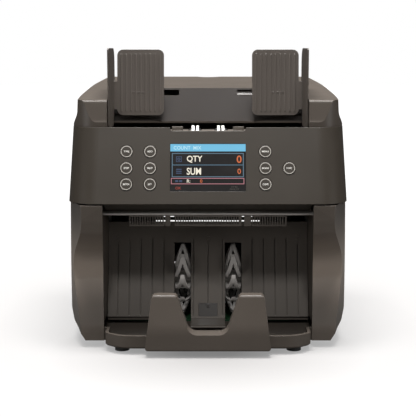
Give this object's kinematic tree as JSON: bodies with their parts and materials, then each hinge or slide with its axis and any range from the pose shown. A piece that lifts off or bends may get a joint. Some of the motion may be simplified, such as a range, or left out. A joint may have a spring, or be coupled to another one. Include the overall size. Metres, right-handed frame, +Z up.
{
  "type": "banknote counting machine",
  "caption": "Desktop banknote counter with a sloped key panel and screen, a hopper with two sliding note guides, a bladed stacker in an open pocket and a hinged rear door.",
  "frame": {"origin": "bottom centre of the machine's box, in the plane of the feet", "axes": "+X to the right seen from the front, +Y from the front to the back, +Z up"},
  "size_m": [0.273, 0.244, 0.2884],
  "materials": {
    "case_plastic": "fine moulded texture",
    "panel_plastic": "smooth satin",
    "pocket_plastic": "satin, dark",
    "guide_plastic": "satin, ribbed",
    "inner_plastic": "matte",
    "blade_plastic": "flexible, satin",
    "screen_glass": "gloss",
    "key_plastic": "satin with a pale ring",
    "white_rubber": "soft, matte",
    "black_rubber": "matte",
    "steel": "turned",
    "plated_sheet": "zinc plated",
    "motor_can": "satin",
    "circuit_board": "solder mask"
  },
  "bodies": {
    "root": {"base_tray": "case_plastic", "case_screws": "steel", "data_ports": "circuit_board", "display_lens": "screen_glass", "display_module": "inner_plastic", "door_hinge_pins": "steel", "drive_belt": "black_rubber", "drive_motor": "motor_can", "exit_bar": "steel", "exit_comb": "pocket_plastic", "front_image_sensor": "inner_plastic", "front_panel": "panel_plastic", "hopper_floor": "pocket_plastic", "key_board": "circuit_board", "left_frame": "plated_sheet", "left_side_cover": "case_plastic", "main_board": "circuit_board", "power_inlet": "inner_plastic", "power_supply": "inner_plastic", "rear_panel": "case_plastic", "right_frame": "plated_sheet", "right_side_cover": "case_plastic", "rubber_feet": "black_rubber", "shaft_bearings": "steel", "stack_sensor": "screen_glass", "stacker_belt": "black_rubber", "stacker_front_cover": "case_plastic", "stacker_motor": "motor_can", "stacker_plate": "pocket_plastic", "top_cover": "case_plastic"},
    "left_guide": {"left_guide": "guide_plastic"},
    "right_guide": {"right_guide": "guide_plastic"},
    "guide_pinion": {"guide_pinion": "inner_plastic"},
    "pickup_unit": {"pickup_shaft": "steel", "pickup_wheels": "inner_plastic", "pickup_tyres": "white_rubber", "pickup_pulley": "inner_plastic"},
    "drum_unit": {"drum_shaft": "steel", "drum_rollers": "black_rubber", "drum_pulley": "inner_plastic"},
    "feed_rotor": {"motor_pulley": "inner_plastic"},
    "stacker_unit": {"stacker_shaft": "steel", "stacker_wheel_left": "blade_plastic", "stacker_wheel_right": "blade_plastic", "stacker_pulley": "inner_plastic"},
    "stacker_rotor": {"stacker_motor_pulley": "inner_plastic"},
    "rear_door": {"rear_door": "case_plastic", "rear_image_sensor": "inner_plastic"},
    "pinch_unit": {"pinch_rollers": "black_rubber"},
    "power_rocker": {"power_switch_rocker": "inner_plastic"},
    "key_add": {"key_add": "key_plastic"},
    "key_batch": {"key_batch": "key_plastic"},
    "key_clear": {"key_clear": "key_plastic"},
    "key_currency": {"key_currency": "key_plastic"},
    "key_menu": {"key_menu": "key_plastic"},
    "key_mode": {"key_mode": "key_plastic"},
    "key_print": {"key_print": "key_plastic"},
    "key_settings": {"key_settings": "key_plastic"},
    "key_start": {"key_start": "key_plastic"},
    "key_step": {"key_step": "key_plastic"}
  },
  "joints": [
    {"name": "left_guide_slide", "type": "slide", "parent": "root", "child": "left_guide", "axis": [1, 0, 0], "range_m": [0, 0.034]},
    {"name": "right_guide_slide", "type": "slide", "parent": "root", "child": "right_guide", "axis": [-1, 0, 0], "range_m": [0, 0.034]},
    {"name": "guide_pinion_spin", "type": "hinge", "parent": "root", "child": "guide_pinion", "pos_m": [0, 0.031, 0.231], "axis": [0, -1, 0], "range_deg": [0, 243.6]},
    {"name": "drum_spin", "type": "hinge", "parent": "root", "child": "drum_unit", "pos_m": [0, 0.048, 0.132], "axis": [-1, 0, 0], "continuous": true},
    {"name": "pickup_spin", "type": "hinge", "parent": "root", "child": "pickup_unit", "pos_m": [0, -0.008, 0.193], "axis": [-1, 0, 0], "continuous": true},
    {"name": "feed_motor_spin", "type": "hinge", "parent": "root", "child": "feed_rotor", "pos_m": [0.1, 0.06, 0.046], "axis": [-1, 0, 0], "continuous": true},
    {"name": "stacker_spin", "type": "hinge", "parent": "root", "child": "stacker_unit", "pos_m": [0, 0.004, 0.05], "axis": [1, 0, 0], "continuous": true},
    {"name": "stacker_motor_spin", "type": "hinge", "parent": "root", "child": "stacker_rotor", "pos_m": [-0.1, 0.06, 0.046], "axis": [1, 0, 0], "continuous": true},
    {"name": "rear_door_hinge", "type": "hinge", "parent": "root", "child": "rear_door", "pos_m": [0, 0.119, 0.061], "axis": [-1, 0, 0], "range_deg": [0, 75]},
    {"name": "pinch_roller_spin", "type": "hinge", "parent": "rear_door", "child": "pinch_unit", "pos_m": [0, 0.0814, 0.141], "axis": [1, 0, 0], "continuous": true},
    {"name": "power_rocker_tilt", "type": "hinge", "parent": "root", "child": "power_rocker", "pos_m": [-0.0425, 0.1154, 0.034], "axis": [1, 0, 0], "range_deg": [0, 14]},
    {"name": "key_add_press", "type": "slide", "parent": "root", "child": "key_add", "axis": [0, 0.9473, -0.3202], "range_m": [0, 0.0008], "stiffness_N_per_m": 600},
    {"name": "key_batch_press", "type": "slide", "parent": "root", "child": "key_batch", "axis": [0, 0.9473, -0.3202], "range_m": [0, 0.0008], "stiffness_N_per_m": 600},
    {"name": "key_clear_press", "type": "slide", "parent": "root", "child": "key_clear", "axis": [0, 0.9473, -0.3202], "range_m": [0, 0.0008], "stiffness_N_per_m": 600},
    {"name": "key_currency_press", "type": "slide", "parent": "root", "child": "key_currency", "axis": [0, 0.9473, -0.3202], "range_m": [0, 0.0008], "stiffness_N_per_m": 600},
    {"name": "key_menu_press", "type": "slide", "parent": "root", "child": "key_menu", "axis": [0, 0.9473, -0.3202], "range_m": [0, 0.0008], "stiffness_N_per_m": 600},
    {"name": "key_mode_press", "type": "slide", "parent": "root", "child": "key_mode", "axis": [0, 0.9473, -0.3202], "range_m": [0, 0.0008], "stiffness_N_per_m": 600},
    {"name": "key_print_press", "type": "slide", "parent": "root", "child": "key_print", "axis": [0, 0.9473, -0.3202], "range_m": [0, 0.0008], "stiffness_N_per_m": 600},
    {"name": "key_settings_press", "type": "slide", "parent": "root", "child": "key_settings", "axis": [0, 0.9473, -0.3202], "range_m": [0, 0.0008], "stiffness_N_per_m": 600},
    {"name": "key_start_press", "type": "slide", "parent": "root", "child": "key_start", "axis": [0, 0.9473, -0.3202], "range_m": [0, 0.0008], "stiffness_N_per_m": 600},
    {"name": "key_step_press", "type": "slide", "parent": "root", "child": "key_step", "axis": [0, 0.9473, -0.3202], "range_m": [0, 0.0008], "stiffness_N_per_m": 600}
  ],
  "couplings": [
    {"joint": "right_guide_slide", "follows": "left_guide_slide", "ratio": 1},
    {"joint": "guide_pinion_spin", "follows": "left_guide_slide", "rad_per_m": 125},
    {"joint": "pickup_spin", "follows": "drum_spin", "ratio": 1.3333},
    {"joint": "feed_motor_spin", "follows": "drum_spin", "ratio": 1.7778},
    {"joint": "stacker_motor_spin", "follows": "stacker_spin", "ratio": 1.4444}
  ]
}
